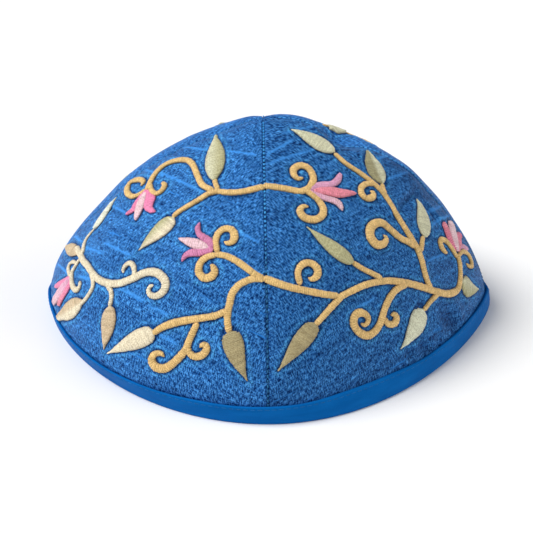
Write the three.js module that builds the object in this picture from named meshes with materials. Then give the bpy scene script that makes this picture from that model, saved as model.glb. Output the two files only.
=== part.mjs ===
// A four-panel skullcap with a bound rim, standing on its rim.
// Millimetres, +Z up. The rim rests on z = 0, the front seam faces -Y and the side seams lie toward -X and +X.

import * as THREE from 'three';

// Driving sizes
const LEFT_REACH = 85.3;      // middle to the left tip, on the outer face of the cloth, at the rim
const RIGHT_REACH = 87.3;     // middle to the right tip
const FRONT_REACH = 84.0;     // middle to the front or back seam
const HEIGHT = 81.0;          // table to the outer face of the cloth at the top
const CLOTH = 1.8;            // how much less every reach is on the inner face of a panel
const SEAM_GAP = 0.3;         // clear space between two panels at a seam
const PANEL_FOOT = 1.6;       // height of the lower edge of the panels, inside the fold of the binding

// Binding tape, folded in a U round the foot of the panels
const TAPE = 1.1;             // thickness of one wall of the fold
const TAPE_SLACK = 0.45;      // clear space between the tape and the panels
const BINDING_OUTSIDE = 7.6;  // height of the fold's outer wall
const BINDING_INSIDE = 7.0;   // height of its inner wall
const TAPE_ROUND = 0.6;       // chamfer along the edges of the tape

// The top leans to the left and a little to the back
const LEAN_X = -1.8;
const LEAN_Y = 1.5;

// Upright outline of each side. Its reach at height h, from 0 at the rim to 1 at the top, is
// reach * (1 - h^belly)^(1 / crown).
const OUTLINES = {
  left: { reach: LEFT_REACH, belly: 2.1, crown: 1.2 },
  right: { reach: RIGHT_REACH, belly: 1.7, crown: 1.8 },
  front: { reach: FRONT_REACH, belly: 1.7, crown: 1.65 },
  back: { reach: FRONT_REACH, belly: 1.35, crown: 1.25 },
};

// The four panels. x and y tell which quarter a panel fills. Seen from above its rim is the curve
// (x / reach)^2 + (y / reach)^corner = 1, round at the front seam and pointed at the side seams.
const PANELS = [
  { name: 'panel_front_right', x: 1, y: -1, corner: 1.27, colour: 0x2e69ab },
  { name: 'panel_back_right', x: 1, y: 1, corner: 1.4, colour: 0x2b66a8 },
  { name: 'panel_back_left', x: -1, y: 1, corner: 1.4, colour: 0x3571b4 },
  { name: 'panel_front_left', x: -1, y: -1, corner: 1.5, colour: 0x3572b2 },
];
const CORNER_AT_TOP = 1.9;    // the same exponent near the top, where the plan is almost an ellipse

// Soft dents and puffs: centre on the cloth, radius of the soft edge, push outward (inward when negative)
const DENTS = [
  { name: 'puff_right_of_top', x: 13, y: 2, z: 78, radius: 17, push: 0.8 },
  { name: 'pucker_in_right_seam', x: 27.7, y: 1.4, z: 72.9, radius: 7.5, push: -5.0 },
  { name: 'rise_right_seam', x: 60, y: -2, z: 69, radius: 13, push: 4.7 },
  { name: 'hollow_left_side', x: -55, y: 0, z: 31, radius: 16, push: -6.4 },
  { name: 'fold_below_upper_vine', x: -16, y: -34, z: 64, radius: 9, push: -0.9 },
  { name: 'dent_low_right', x: 62, y: -44, z: 17, radius: 9, push: -1.3 },
  { name: 'puff_front_left', x: -38, y: -46, z: 42, radius: 22, push: 0.9 },
];
const HEART = new THREE.Vector3(0, 0, 20);   // dents and puffs push along the line from this point
const STIFF_BELOW = 9;        // the binding holds dents off up to this height
const SOFT_ABOVE = 20;        // and above this one they have their full depth

// Low swells, where the cloth bulges over the rim and takes the binding along
const SWELLS = [
  { name: 'swell_front_left', x: -45, y: -36, z: 14, radius: 49, push: 5.0 },
  { name: 'swell_left', x: -86, y: 15, z: 14, radius: 10, push: 3.0 },
  { name: 'swell_front', x: 4, y: -84, z: 12, radius: 28, push: 1.1 },
  { name: 'tuck_front_right', x: 31, y: -65, z: 12, radius: 26, push: -2.8 },
];
const SWELL_FULL_ABOVE = 10;  // swells grow from nothing at the rim to their full depth at this height

// Panels are drawn in along their seams
const SEAM_DIP = 0.7;
const SEAM_SPREAD = 3.5;

// Grid steps
const PANEL_COLUMNS = 20;
const PANEL_ROWS = 20;
const COLUMN_BUNCHING = 0.68; // columns crowd toward the seams
const ROW_BUNCHING = 1.6;     // rows crowd toward the top
const BINDING_COLUMNS = 28;   // round one quarter of the rim

// Sheen of the two cloths
const SILK_ROUGHNESS = 0.42;
const TAPE_ROUGHNESS = 0.5;
const BINDING_COLOUR = 0x135b9c;

const smooth = (from, to, value) => {
  const t = THREE.MathUtils.clamp((value - from) / (to - from), 0, 1);
  return t * t * (3 - 2 * t);
};

const reachOf = (side, h, offset) => (side.reach + offset) * (1 - h ** side.belly) ** (1 / side.crown);

// Sum of the soft-edged pushes of a table at a point
const pushOf = (table, point) => table.reduce((sum, { x, y, z, radius, push }) => {
  const away = point.distanceToSquared(new THREE.Vector3(x, y, z));
  return sum + push * Math.exp(-away / radius ** 2);
}, 0);

// How far dents, puffs, seams and swells push the cloth outward at a point. alongX and alongY are its
// distances from the seams.
function softPush(point, alongX, alongY) {
  const nearSeam = Math.exp(-((alongX / SEAM_SPREAD) ** 2)) + Math.exp(-((alongY / SEAM_SPREAD) ** 2));
  const soft = pushOf(DENTS, point) - SEAM_DIP * Math.min(1, nearSeam);
  return soft * smooth(STIFF_BELOW, SOFT_ABOVE, point.z)
    + pushOf(SWELLS, point) * smooth(0, SWELL_FULL_ABOVE, point.z);
}

// A point of the cloth in one quarter. turn goes from 0 at the side seam to 1 at the front or back seam,
// h from 0 at the rim to 1 at the top, and offset is added to every reach. gap keeps the quarter clear of
// its neighbours at the seams.
function clothPoint(panel, turn, h, offset, gap) {
  const angle = turn * Math.PI / 2;
  const sideLine = panel.x < 0 ? OUTLINES.left : OUTLINES.right;
  const faceLine = panel.y < 0 ? OUTLINES.front : OUTLINES.back;
  const corner = THREE.MathUtils.lerp(panel.corner, CORNER_AT_TOP, h * h);
  const alongX = reachOf(sideLine, h, offset) * Math.cos(angle);
  const alongY = reachOf(faceLine, h, offset) * Math.sin(angle) ** (2 / corner);
  const clearX = gap / 2 * (1 - alongX / sideLine.reach);
  const clearY = gap / 2 * (1 - alongY / faceLine.reach);
  const point = new THREE.Vector3(
    panel.x * (alongX + clearX) + LEAN_X * h * h,
    panel.y * (alongY + clearY) + LEAN_Y * h * h,
    (HEIGHT + offset) * h,
  );
  const outward = point.clone().sub(HEART).normalize();
  return point.addScaledVector(outward, softPush(point, alongX, alongY));
}

// Triangles of one closed body
class Skin {
  constructor(inverted) {
    this.inverted = inverted;
    this.numbers = [];
  }

  triangle(a, b, c) {
    const [second, third] = this.inverted ? [c, b] : [b, c];
    for (const point of [a, second, third]) {
      this.numbers.push(point.x, point.y, point.z);
    }
  }

  // Two triangles, or one where the upper corners meet
  quad(lowA, lowB, highB, highA) {
    this.triangle(lowA, lowB, highB);
    if (highA !== highB) {
      this.triangle(lowA, highB, highA);
    }
  }

  mesh(name, colour, roughness) {
    const geometry = new THREE.BufferGeometry();
    geometry.setAttribute('position', new THREE.Float32BufferAttribute(this.numbers, 3));
    geometry.computeVertexNormals();
    const material = new THREE.MeshStandardMaterial({ color: colour, roughness, metalness: 0 });
    const mesh = new THREE.Mesh(geometry, material);
    mesh.name = name;
    return mesh;
  }
}

// The rows of one face of a panel, from its foot to the single point at the top
function panelFace(panel, offset) {
  const foot = PANEL_FOOT / (HEIGHT + offset);
  const rows = [];
  for (let row = 0; row < PANEL_ROWS; row += 1) {
    const climb = 1 - (1 - row / PANEL_ROWS) ** ROW_BUNCHING;
    const h = foot + (1 - foot) * climb;
    const points = [];
    for (let column = 0; column <= PANEL_COLUMNS; column += 1) {
      const even = column / PANEL_COLUMNS;
      const turn = even - COLUMN_BUNCHING * Math.sin(2 * Math.PI * even) / (2 * Math.PI);
      points.push(clothPoint(panel, turn, h, offset, SEAM_GAP));
    }
    rows.push(points);
  }
  const top = clothPoint(panel, 0, 1, offset, SEAM_GAP);
  rows.push(Array(PANEL_COLUMNS + 1).fill(top));
  return rows;
}

// A gore: outer and inner face, joined along both seams and along the foot
function makePanel(panel) {
  const outer = panelFace(panel, 0);
  const inner = panelFace(panel, -CLOTH);
  const skin = new Skin(panel.x * panel.y < 0);
  const last = PANEL_COLUMNS;
  for (let row = 0; row < PANEL_ROWS; row += 1) {
    for (let column = 0; column < last; column += 1) {
      skin.quad(outer[row][column], outer[row][column + 1], outer[row + 1][column + 1], outer[row + 1][column]);
      skin.quad(inner[row][column + 1], inner[row][column], inner[row + 1][column], inner[row + 1][column + 1]);
    }
    skin.quad(inner[row][0], outer[row][0], outer[row + 1][0], inner[row + 1][0]);
    skin.quad(outer[row][last], inner[row][last], inner[row + 1][last], outer[row + 1][last]);
  }
  for (let column = 0; column < last; column += 1) {
    skin.quad(inner[0][column], inner[0][column + 1], outer[0][column + 1], outer[0][column]);
  }
  return skin.mesh(panel.name, panel.colour, SILK_ROUGHNESS);
}

// Section of the binding as offsets from the outer face of the cloth and heights, once round the U
function bindingSection() {
  const outside = TAPE_SLACK + TAPE;
  const inside = -CLOTH - TAPE_SLACK - TAPE;
  return [
    { offset: outside - TAPE_ROUND, z: 0 },
    { offset: outside, z: TAPE_ROUND },
    { offset: outside, z: BINDING_OUTSIDE / 2 },
    { offset: outside, z: BINDING_OUTSIDE - TAPE_ROUND },
    { offset: outside - TAPE_ROUND, z: BINDING_OUTSIDE },
    { offset: TAPE_SLACK, z: BINDING_OUTSIDE },
    { offset: TAPE_SLACK, z: BINDING_OUTSIDE / 2 },
    { offset: TAPE_SLACK, z: TAPE },
    { offset: -CLOTH - TAPE_SLACK, z: TAPE },
    { offset: -CLOTH - TAPE_SLACK, z: BINDING_INSIDE / 2 },
    { offset: -CLOTH - TAPE_SLACK, z: BINDING_INSIDE },
    { offset: inside + TAPE_ROUND, z: BINDING_INSIDE },
    { offset: inside, z: BINDING_INSIDE - TAPE_ROUND },
    { offset: inside, z: BINDING_INSIDE / 2 },
    { offset: inside, z: TAPE_ROUND },
    { offset: inside + TAPE_ROUND, z: 0 },
  ];
}

// Quarters taken counter-clockwise from the right tip. Every second one starts at its front or back seam.
function rimStations() {
  const stations = [];
  for (const name of ['panel_back_right', 'panel_back_left', 'panel_front_left', 'panel_front_right']) {
    const panel = PANELS.find((one) => one.name === name);
    const fromTip = panel.x * panel.y > 0;
    for (let column = 0; column < BINDING_COLUMNS; column += 1) {
      const part = column / BINDING_COLUMNS;
      stations.push({ panel, turn: fromTip ? part : 1 - part });
    }
  }
  return stations;
}

// The binding: its section carried round the rim
function makeBinding() {
  const section = bindingSection();
  const rings = rimStations().map(({ panel, turn }) => section.map(
    ({ offset, z }) => clothPoint(panel, turn, z / (HEIGHT + offset), offset, 0),
  ));
  const skin = new Skin(false);
  rings.forEach((ring, index) => {
    const next = rings[(index + 1) % rings.length];
    section.forEach((_, corner) => {
      const above = (corner + 1) % section.length;
      skin.quad(ring[corner], next[corner], next[above], ring[above]);
    });
  });
  return skin.mesh('rim_binding', BINDING_COLOUR, TAPE_ROUGHNESS);
}

const cap = new THREE.Group();
cap.add(...PANELS.map(makePanel), makeBinding());

export default cap;
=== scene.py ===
"""Looks of a four-panel silk skullcap with a bound rim and embroidered vines.

Shapes are worked out on numpy arrays in millimetres and stored in the meshes in metres. +Z is up, the rim
rests on z = 0, the front seam faces -Y and the side seams lie toward -X and +X.
"""

import math

import bpy
import numpy as np
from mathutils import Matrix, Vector


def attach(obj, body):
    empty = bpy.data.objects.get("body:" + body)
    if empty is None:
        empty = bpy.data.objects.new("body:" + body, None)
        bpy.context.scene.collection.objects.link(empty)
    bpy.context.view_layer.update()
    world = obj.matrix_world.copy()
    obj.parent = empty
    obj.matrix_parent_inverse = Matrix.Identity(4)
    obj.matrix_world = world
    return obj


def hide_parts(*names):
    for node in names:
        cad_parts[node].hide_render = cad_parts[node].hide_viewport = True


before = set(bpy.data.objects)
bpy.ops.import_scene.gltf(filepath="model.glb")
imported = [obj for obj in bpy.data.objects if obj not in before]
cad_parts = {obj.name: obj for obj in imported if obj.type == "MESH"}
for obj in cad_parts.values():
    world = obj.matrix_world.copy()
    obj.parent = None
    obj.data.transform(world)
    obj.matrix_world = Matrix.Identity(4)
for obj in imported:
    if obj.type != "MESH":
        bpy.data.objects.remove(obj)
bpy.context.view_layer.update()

MM = 0.001

# Sizes of the cap in millimetres, as in its solids
HEIGHT = 81.0
CLOTH = 1.8
TAPE = 1.1
TAPE_SLACK = 0.45
PANEL_FOOT = 1.6
BINDING_TOP = 7.6
SIDE_REACH = 87.0
FRONT_REACH = 84.0
LEAN = np.array([-1.8, 1.5])
HEART = np.array([0.0, 0.0, 20.0])

# Upright outline of each side: reach at the rim, belly and crown, with the reach at height fraction h
# being rim reach x (1 - h^belly)^(1 / crown)
OUTLINES = {
    "left": (85.3, 2.1, 1.2),
    "right": (87.3, 1.7, 1.8),
    "front": (84.0, 1.7, 1.65),
    "back": (84.0, 1.35, 1.25),
}
# Exponent of the rim's curve seen from above: round at the front seam, pointed at the side seams
CORNER_FRONT_LEFT = 1.5
CORNER_FRONT_RIGHT = 1.27
CORNER_BACK = 1.4
CORNER_AT_TOP = 1.9

# The panels: name, which half they fill along X and along Y, and a factor on the gore's colour that is
# painted light and shade: below 1 it darkens the gore as painted shade, above 1 it lightens it as painted
# light
PANELS = (
    ("front_right", 1, -1, 0.80),
    ("back_right", 1, 1, 1.15),
    ("back_left", -1, 1, 1.15),
    ("front_left", -1, -1, 1.0),
)

# Soft dents and puffs: x, y and z of the centre, radius of the soft edge, push outward
DENTS = {
    "puff_right_of_top": (13, 2, 78, 17, 0.8),
    "pucker_in_right_seam": (27.7, 1.4, 72.9, 7.5, -5.0),
    "rise_right_seam": (60, -2, 69, 13, 4.7),
    "hollow_left_side": (-55, 0, 31, 16, -6.4),
    "fold_below_upper_vine": (-16, -34, 64, 9, -0.9),
    "dent_low_right": (62, -44, 17, 9, -1.3),
    "puff_front_left": (-38, -46, 42, 22, 0.9),
}
STIFF_BELOW = 9.0
SOFT_ABOVE = 20.0

# Low swells of the cloth over the rim, in the same columns. They fade to nothing down to the rim.
SWELLS = {
    "swell_front_left": (-45, -36, 14, 49, 5.0),
    "swell_left": (-86, 15, 14, 10, 3.0),
    "swell_front": (4, -84, 12, 28, 1.1),
    "tuck_front_right": (31, -65, 12, 26, -2.8),
}
SWELL_FULL_ABOVE = 10.0
SEAM_DIP = 0.7
SEAM_SPREAD = 3.5

# Slight unevenness of the silk: wavelength range, depth of each wave, how many waves
UNEVEN_WAVES = (16.0, 34.0)
UNEVEN_DEPTH = 0.07
UNEVEN_COUNT = 9
GATHER_LENGTH = 7.0
GATHER_DEPTH = 0.16
GATHER_REACH = 7.0

# Camera: the photo's 533-pixel frame, its view of the rim's middle, and how steeply it looks down
FRAME = 533
ORIGIN_PIXEL = (268.0, 304.3)
PIXELS_PER_MM = 2.495
CAMERA_DISTANCE = 650.0
CAMERA_LIFT = math.radians(30)
SENSOR = 36.0

GOLD = (0.93, 0.63, 0.26)
CREAM = (0.96, 0.86, 0.64)
PALE = (0.76, 0.76, 0.54)
FROST = (0.92, 0.96, 0.80)
DEW = (0.84, 0.86, 0.66)
SAGE = (0.58, 0.56, 0.32)
KHAKI = (0.50, 0.42, 0.23)
BEIGE = (0.74, 0.58, 0.38)
OLIVE = (0.42, 0.39, 0.22)
PINK = (1.0, 0.29, 0.54)
CORAL = (1.0, 0.33, 0.43)
ROSE = (1.0, 0.69, 0.77)
MAUVE = (0.84, 0.42, 0.64)
ORCHID = (0.76, 0.27, 0.50)
CERISE = (0.88, 0.19, 0.36)
SLUB_HALF = 0.22        # half width of a slub in millimetres
SLOTS = {"vine": "gold_thread", "leaf": "leaf_thread", "flower": "flower_thread"}
GRAIN_SCALE = 0.01      # grain coordinates in a millimetre
SEAM_PIXEL = 264.2      # patterns that start left of this column of the frame are on the left panel
BACK_SQUEEZE = 0.85     # the back repeats the front's pattern, drawn in toward the back seam
BACK_MARGIN = 13.0      # and kept this far behind the side seams

# Stems on the two front panels. Columns: colour, width in millimetres at the start, at seven tenths of
# the way and at the end, and the way the stem runs in pixels of the photo's frame.
VINES = {
    "upper_left": (GOLD, 2.6, 2.6, 2.4, [(265, 186.4), (243.6, 191.5), (229, 192.6), (214, 191)]),
    "upper_left_arch": (GOLD, 2.4, 2.7, 2.2, [
        (214, 191), (202.6, 185), (197, 174), (193, 165), (187, 160.5), (176, 161), (164, 166), (155, 175),
        (150, 184), (147.5, 190)]),
    "upper_left_outer_curl": (GOLD, 2.0, 3.0, 1.3, [
        (147.5, 189), (140, 194.5), (133, 196.6), (128, 193), (128.6, 186), (134, 181), (141, 180),
        (144, 182.6), (141, 186)]),
    "upper_left_inner_curl": (GOLD, 2.0, 2.4, 1.2, [
        (150.5, 184), (152, 190.5), (157, 193.8), (163, 190), (165, 184.7), (161.5, 183)]),
    "upper_leaf_stem": (GOLD, 2.2, 1.8, 1.9, [(218.5, 190), (216, 185), (214.6, 179)]),
    "left_leaf_stem": (GOLD, 2.3, 2.2, 1.9, [
        (217, 191.7), (208.6, 193.8), (198.7, 200), (187.5, 206.5), (177.7, 212.8), (173, 218)]),
    "middle_left": (GOLD, 2.7, 2.6, 2.4, [
        (264.5, 279), (256, 275), (246, 267.5), (235, 260), (225, 255.6), (215, 254.2)]),
    "middle_left_lower_curl": (GOLD, 2.4, 3.2, 1.1, [
        (217, 254.4), (207, 257), (200.4, 263), (199, 271.7), (204, 277.6), (211, 276.6), (214.5, 271),
        (212.4, 266.2), (210, 265.2)]),
    "middle_left_upper_curl": (GOLD, 2.2, 3.1, 1.1, [
        (217.7, 252.5), (215.9, 242), (217.9, 234), (224, 229), (231, 229.5), (234.4, 235), (233, 241),
        (228, 243.2), (224, 241.6)]),
    "lower_left": (GOLD, 2.6, 2.8, 2.4, [
        (264.5, 279), (253.5, 278.7), (245, 281.5), (238, 285.7), (232, 294), (229.6, 304), (228, 311),
        (227.5, 321), (229.5, 333)]),
    "lower_left_branch": (GOLD, 2.4, 2.9, 2.2, [
        (227.5, 310), (215.6, 315.4), (201.5, 318), (187.5, 320), (173.5, 323), (162, 327.4),
        (153, 333.5)]),
    "lower_left_curl": (GOLD, 2.4, 3.5, 1.1, [
        (197.5, 322), (193, 332), (189, 341), (186, 349), (179, 357.5), (172, 364), (165, 368), (158, 367.5),
        (153.6, 364), (152, 358.6), (155, 353.8), (161, 353), (164.5, 356.5)]),
    "lower_left_small_curl": (GOLD, 2.3, 3.0, 1.1, [
        (188, 346.5), (189.5, 352.5), (195, 356.4), (201.5, 355.2), (205.8, 351), (206, 346.6),
        (203, 344.6), (199.6, 347.4)]),
    # The far-left stems are cream, much paler than the gold of the others, as painted highlight for the
    # light that falls on the cap's left side.
    "far_left_upper": (CREAM, 1.3, 1.9, 2.3, [
        (94.5, 229), (87.7, 237.5), (84.6, 244.6), (83.4, 251), (81, 257)]),
    "far_left": (CREAM, 2.4, 3.3, 1.2, [
        (77, 247), (81.4, 255.4), (84, 261), (87.7, 265), (91, 270), (94.6, 275), (98.8, 279), (104.6, 282),
        (112, 283.5), (120.7, 283), (129, 280), (136, 277), (143, 273.4), (150, 271.8), (157, 272.8),
        (163, 277.4), (165.8, 283), (164.6, 289.6), (160.4, 294), (155.5, 296), (150.8, 294.6),
        (148.8, 290.6), (150.2, 286.6), (153.6, 285)]),
    "far_left_small_curl": (CREAM, 2.0, 2.0, 1.2, [
        (134.4, 277), (134.8, 269.6), (133, 264.6), (130, 263), (126.5, 265), (124, 269), (123.6, 272.8)]),
    "far_left_leaf_stem": (CREAM, 2.0, 1.9, 1.9, [
        (107, 283.5), (111, 290), (112, 296.4), (111, 302.7), (110, 307)]),
    "far_left_low_stem": (CREAM, 2.0, 1.8, 1.8, [
        (91.5, 272), (93.5, 280), (93, 287.5), (89.5, 294), (85.5, 299.5), (81.4, 304)]),
    "far_left_inner_curl": (CREAM, 1.7, 2.5, 1.0, [
        (81, 258), (76, 266), (72.8, 272), (72.3, 279.5), (73.2, 285.4), (75.8, 289.6), (79, 288.4),
        (80.6, 284), (79.6, 281)]),
    "far_left_hook": (CREAM, 1.6, 1.8, 1.3, [
        (70.6, 276.5), (68.9, 269), (70.8, 263.6), (73.6, 261.8), (76.6, 263)]),
    "upper_right": (GOLD, 2.7, 2.6, 2.4, [
        (263.2, 186), (274, 187), (286.7, 189), (299.4, 191.4), (306, 190)]),
    "upper_right_top_curl": (GOLD, 2.5, 3.0, 1.2, [
        (301, 191.6), (309, 187.7), (313.2, 179.7), (310.8, 171.7), (305.8, 167), (299.4, 165.8),
        (294, 169), (293.8, 174.6), (298, 178.8), (303, 177.6)]),
    "upper_right_low_curl": (GOLD, 2.2, 3.3, 1.2, [
        (304, 190.5), (310.6, 194), (318, 200.4), (323, 208.4), (321.5, 216), (313.8, 219.6), (304.6, 217.6),
        (299.8, 211.4), (302.6, 206.6), (308.4, 206.4)]),
    "tall": (GOLD, 2.0, 2.9, 2.5, [
        (334, 153.5), (345.7, 164), (358.4, 172.5), (369.6, 181), (380.7, 191), (388.7, 202), (395, 213),
        (403, 226), (411, 238.7), (417.4, 250), (421.4, 261), (424, 272), (427.6, 283), (431, 288.6)]),
    "tall_small_curl": (GOLD, 2.2, 2.9, 1.1, [
        (373, 184.5), (366, 184), (361, 188), (361.6, 194.6), (366.8, 198.6), (372.2, 197), (372.6, 193),
        (369.6, 191.2)]),
    "tall_leaf_stem": (GOLD, 1.9, 2.0, 2.2, [(381.3, 183.5), (382.6, 189), (385, 195)]),
    "tall_low_curl": (GOLD, 2.5, 3.9, 0.9, [
        (414, 247), (408.5, 242.4), (400, 238), (390, 229.6), (382, 223.2), (374.8, 223.6), (370, 229),
        (370.6, 237.6), (376.6, 244.4), (383.6, 243.4), (385.8, 238.2), (383, 234.8)]),
    "tall_side_stem": (GOLD, 1.9, 2.1, 2.3, [(422.4, 236), (421.4, 243), (420, 252)]),
    "main_right": (GOLD, 2.9, 2.7, 2.3, [
        (263.6, 278), (277, 283), (289.9, 287), (303, 290), (318, 293), (330.4, 295), (339, 295.4)]),
    "main_right_curl": (GOLD, 2.3, 3.0, 1.1, [
        (300.5, 285), (297.8, 274), (300.2, 266.6), (306.2, 262.8), (313.2, 264.4), (317.6, 270),
        (316.4, 276.4), (311.6, 279.2), (308, 277.4)]),
    "main_right_rise": (GOLD, 2.3, 2.9, 2.4, [
        (336.6, 299.5), (341, 296.3), (351.8, 290.7), (365.6, 284.6), (379.4, 281.5), (391.6, 280.8),
        (407, 283), (422, 287), (436, 291.5), (448, 293.6), (456.6, 289.6), (459.4, 279), (459.4, 267.6),
        (458.4, 260.4), (456.6, 254)]),
    "main_right_low_stem": (GOLD, 2.6, 2.3, 2.0, [(342, 295.5), (332, 306), (324, 315), (315, 325)]),
    "middle_leaf_stem": (GOLD, 2.0, 2.2, 2.4, [(351.8, 262), (363, 269), (372.8, 273.8), (382, 279)]),
    "low_right_curl": (GOLD, 2.6, 3.2, 1.2, [
        (406, 283.8), (396.4, 289), (390, 296.8), (385.5, 306), (382.5, 315), (379.4, 324), (374, 331.6),
        (367, 335.2), (359, 332), (353.8, 324.4), (354.4, 316.6), (359.6, 312.4), (366, 314.8),
        (368, 320.2), (365, 324.8), (360.6, 323.8)]),
    "low_right_small_curl": (GOLD, 2.2, 3.0, 1.1, [
        (383.2, 317.8), (387.8, 323.6), (393.6, 323.4), (396.2, 318.8), (394, 314.8), (390.6, 315)]),
    "low_right_leaf_stem": (GOLD, 2.2, 2.0, 1.9, [(438, 293), (430, 301), (423, 310.5)]),
    "far_right_left_curl": (GOLD, 2.0, 2.5, 1.0, [
        (456.4, 257), (451.4, 248.6), (446.4, 242), (442, 239.4), (439.8, 241.8), (441.2, 247.4),
        (444.8, 252), (447, 251.6)]),
    "far_right_right_curl": (GOLD, 1.8, 2.2, 1.0, [
        (457.6, 257), (459.8, 253), (463, 251.4), (467, 253.6), (470, 259.4), (471, 265.6), (468.4, 266.2),
        (466, 263.4)]),
}

# Leaves. Columns: colour left and right of the axis, base, tip, sideways bow in pixels, width in pixels,
# how far along the widest place lies, and true where the leaf is folded down its middle.
LEAVES = {
    "upper_left": (PALE, SAGE, (214.4, 182), (216, 135.5), 0, 19.0, 0.42, False),
    "left": (CREAM, SAGE, (174.5, 217), (138.6, 250.6), 0, 14.5, 0.30, False),
    "lower_left": (KHAKI, KHAKI, (229.5, 330.5), (247.4, 381), -1.5, 21.5, 0.26, False),
    "low_left": (CREAM, CREAM, (155, 331.5), (107, 353.5), 0, 19.5, 0.27, False),
    "far_left_low": (BEIGE, BEIGE, (110.6, 305), (104, 349.4), 0.5, 14.2, 0.34, False),
    "far_left_corner": (CREAM, BEIGE, (84, 301), (56.5, 318.5), 0, 12.5, 0.42, True),
    "far_left_bud": (BEIGE, BEIGE, (80.5, 255), (66, 245.5), 0, 13.0, 0.55, False),
    "far_left_thin": (FROST, FROST, (94, 230), (116.8, 197), 0, 4.6, 0.33, False),
    "top_right": (PALE, PALE, (335, 152.6), (291, 129.5), -1.0, 13.0, 0.36, False),
    "upper_right": (OLIVE, PALE, (381.8, 185), (366.6, 150.5), 0, 14.5, 0.40, True),
    "right_thin": (PALE, PALE, (424, 238), (416.6, 198.8), -2.4, 11.5, 0.36, False),
    "middle_right": (SAGE, SAGE, (353.6, 263), (306.6, 226.6), 0.8, 14.0, 0.31, False),
    "lower_right": (KHAKI, KHAKI, (316, 322.5), (277.8, 371), 0, 18.5, 0.28, False),
    "low_right": (DEW, DEW, (422.6, 309), (400.4, 349), 2.0, 16.0, 0.28, False),
    "far_right_bud": (PALE, SAGE, (460.4, 282), (478.6, 289), -2.5, 14.0, 0.42, False),
}

# The stem and the leaf that show over the crest on the back right panel
CREST_STEM = [(323, 124.8), (333, 127), (343, 130), (353, 134.6), (363, 139.2), (373, 144.4)]
CREST_STEM_WIDTH = 1.4
CREST_LEAF = (PALE, PALE, (345.6, 132.6), (329.2, 129.2), -1.2, 8.5, 0.42, False)
FRONT_ONLY_LEAVES = ("top_right", "upper_right")
FRONT_ONLY_VINES = ("upper_left_arch", "upper_left_outer_curl", "upper_left_inner_curl")
FRONT_ONLY_PETALS = ("upper_left_outer", "upper_left_inner", "upper_left_middle")

# Petals of the tulips, upper ones last: colour at the base and at the tip, and the way each runs from its
# base to its tip as x, y and width in pixels.
PETALS = {
    "upper_left_outer": (PINK, PINK, [
        (147, 190, 3), (142.4, 198, 7), (137.6, 205, 7), (133, 210.5, 4), (126.2, 214.8, 2.2)]),
    "upper_left_inner": (PINK, PINK, [
        (147.6, 190.5, 4), (150, 197.5, 9), (149.3, 205, 9.5), (151, 209.8, 7), (155.6, 211.8, 2.4)]),
    "upper_left_middle": (ROSE, ROSE, [
        (146.8, 192.5, 2.5), (143.4, 198.5, 5.4), (141.2, 205, 7), (139.2, 212, 5.8), (136.5, 220.4, 2.2)]),
    "middle_left_upper": (ORCHID, ORCHID, [
        (213.5, 247, 8), (208.5, 241, 9), (203.2, 237.2, 7.5), (199.2, 233.6, 6), (198, 228, 5.4),
        (199.9, 222.2, 2)]),
    "middle_left_lower": (ORCHID, ORCHID, [
        (213.5, 249, 8), (206, 250.5, 8), (199, 252, 9), (192, 252.8, 8), (186, 255.6, 5.6),
        (182, 261.6, 2)]),
    "middle_left_middle": (ROSE, ROSE, [
        (209.5, 247.6, 3.5), (203, 245.6, 8.5), (196, 243.8, 10.6), (188, 241.4, 8), (183, 239.8, 4.6),
        (178.8, 238.4, 1.8)]),
    "far_left_upper": (PINK, PINK, [(71, 277, 2), (66, 281, 3.8), (61, 284, 3.8), (56.2, 286.2, 2.2)]),
    "far_left_lower": (PINK, CORAL, [(71.6, 280, 2.6), (68.4, 286, 4.6), (64, 293.4, 4.2), (59, 305, 2.4)]),
    "far_left_middle": (MAUVE, ROSE, [
        (71, 278, 2.6), (66.2, 285, 5), (60.6, 292.6, 4.6), (54.4, 301.6, 2.2)]),
    "upper_right_upper": (MAUVE, MAUVE, [
        (309, 190.6, 3), (315, 187.2, 8), (323, 185.4, 7), (331, 184.6, 6.6), (336.6, 181.2, 7.6),
        (339.2, 176, 5.2), (339.4, 172.8, 2)]),
    "upper_right_lower": (MAUVE, ROSE, [
        (309, 191.6, 3), (316, 194.6, 5.2), (324, 198, 5.8), (332, 200.4, 5.8), (338.4, 203.6, 5.8),
        (342.4, 210.8, 2.4)]),
    "upper_right_middle": (CORAL, CORAL, [
        (313.6, 191.5, 4), (320, 191.3, 7), (329, 192, 9), (338, 193.2, 9.6), (346, 193.4, 6.6),
        (352, 193.5, 4), (356.2, 193.7, 1.6)]),
    "far_right_left": (CERISE, CORAL, [
        (455.4, 250.6, 2.4), (450.8, 242, 4.8), (447, 232, 4.8), (442.8, 222, 3)]),
    "far_right_right": (CORAL, CERISE, [
        (457.2, 251.4, 3), (457.6, 243, 4.8), (457.6, 237.4, 5), (459.4, 234.4, 3.4)]),
    "far_right_low": (MAUVE, MAUVE, [(457.6, 248.4, 2), (461.6, 246.8, 3.8), (466.8, 249, 1.8)]),
    "far_right_middle": (ROSE, ROSE, [
        (456.4, 251.4, 3), (454, 241, 5.8), (451.8, 231, 5.2), (449.7, 221.6, 2.6)]),
}

# Thick weft threads that show as light lines in the silk: both ends in pixels of the frame
SLUBS = (
    (159, 172, 203, 192), (143, 169, 163, 176), (108, 204, 128, 214), (105, 243, 131, 256),
    (86, 247, 103, 254), (57, 263, 68, 274), (73, 235, 82, 242), (121, 289, 145, 301),
    (150, 306, 168, 315), (160, 335, 176, 344), (181, 147, 207, 150), (228, 151, 256, 155),
    (237, 231, 258, 242), (80, 276, 90, 280), (182, 239, 200, 246), (267, 155, 293, 140),
    (267, 164, 314, 149), (283, 134, 312, 126), (373, 161, 390, 154), (386, 180, 409, 171),
    (428, 214, 443, 205), (430, 226, 449, 215), (427, 261, 445, 254), (350, 312, 374, 299),
    (421, 215, 440, 207),
)
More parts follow.
